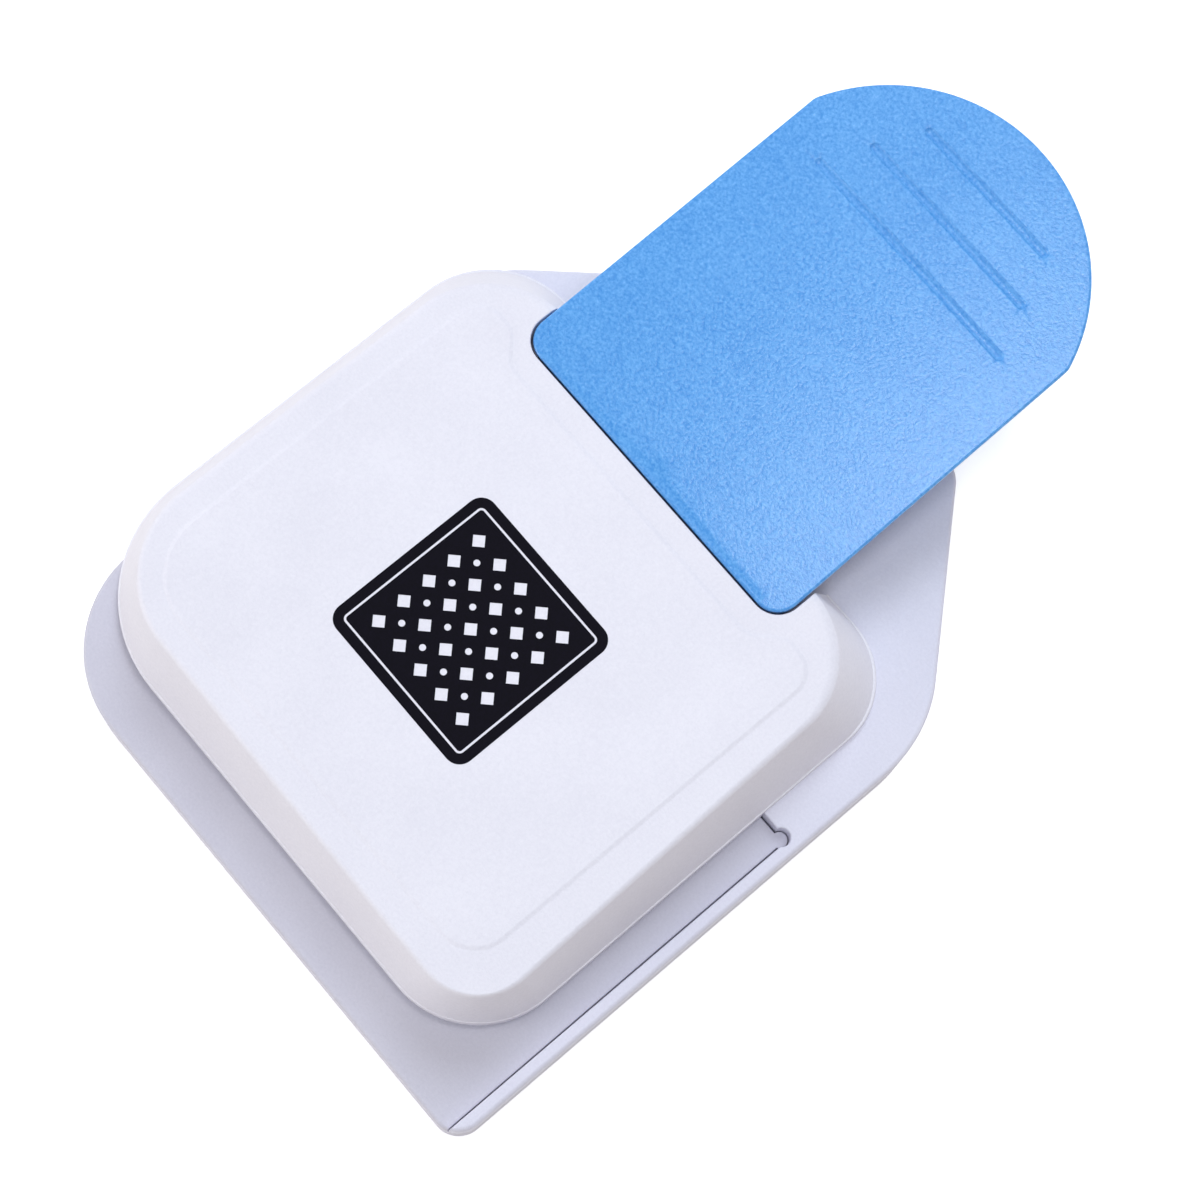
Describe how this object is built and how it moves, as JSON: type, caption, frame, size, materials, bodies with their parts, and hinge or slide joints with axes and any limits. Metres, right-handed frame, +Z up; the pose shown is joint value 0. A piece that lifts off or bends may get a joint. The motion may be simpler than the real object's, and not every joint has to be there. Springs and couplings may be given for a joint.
{
  "type": "border punch",
  "caption": "Desk lever punch for paper borders: low white case on a paper bed with fence and stop, blue palm lever, and a spring-returned punch and die inside.",
  "frame": {"origin": "on the table, under the middle of the punch's box at rest", "axes": "+X right as seen from the paper side, +Y towards the lever's tip, +Z up"},
  "size_m": [0.1094, 0.17, 0.0355],
  "materials": {
    "white_plastic": "fine spark-eroded satin white moulding",
    "grey_plastic": "plain satin moulding",
    "blue_plastic": "satin sky-blue moulding",
    "black_rubber": "matt moulded rubber",
    "sheet_steel": "zinc-plated stamped sheet",
    "ground_steel": "ground tool steel",
    "spring_steel": "drawn wire",
    "zinc_screw": "bright zinc"
  },
  "bodies": {
    "housing": {"base_shell": "white_plastic", "paper_guide": "white_plastic", "bottom_plate": "grey_plastic", "rubber_feet": "black_rubber", "plate_screws": "zinc_screw", "case_screws": "zinc_screw", "die_plate": "ground_steel", "spacer_plate": "sheet_steel", "upper_frame": "sheet_steel", "frame_screws": "zinc_screw", "guide_posts": "ground_steel", "return_springs": "spring_steel", "pivot_pin": "ground_steel", "pivot_clips": "spring_steel", "top_cover": "white_plastic"},
    "lever": {"lever_yoke": "sheet_steel", "lever_handle": "blue_plastic", "handle_screws": "zinc_screw"},
    "punch": {"punch_holder": "ground_steel", "punch_blades": "ground_steel", "drive_pin": "ground_steel"}
  },
  "joints": [
    {"name": "lever_press", "type": "hinge", "parent": "housing", "child": "lever", "pos_m": [-0.0034, -0.058, 0.02], "axis": [-1, 0, 0], "range_deg": [0, 6.8], "stiffness_Nm_per_rad": 3, "springref_deg": -8.59},
    {"name": "punch_slide", "type": "slide", "parent": "housing", "child": "punch", "axis": [0, 0, -1], "range_m": [0, 0.00368], "deforming": ["return_springs"]}
  ],
  "couplings": [
    {"joint": "punch_slide", "follows": "lever_press", "m_per_rad": 0.031}
  ]
}
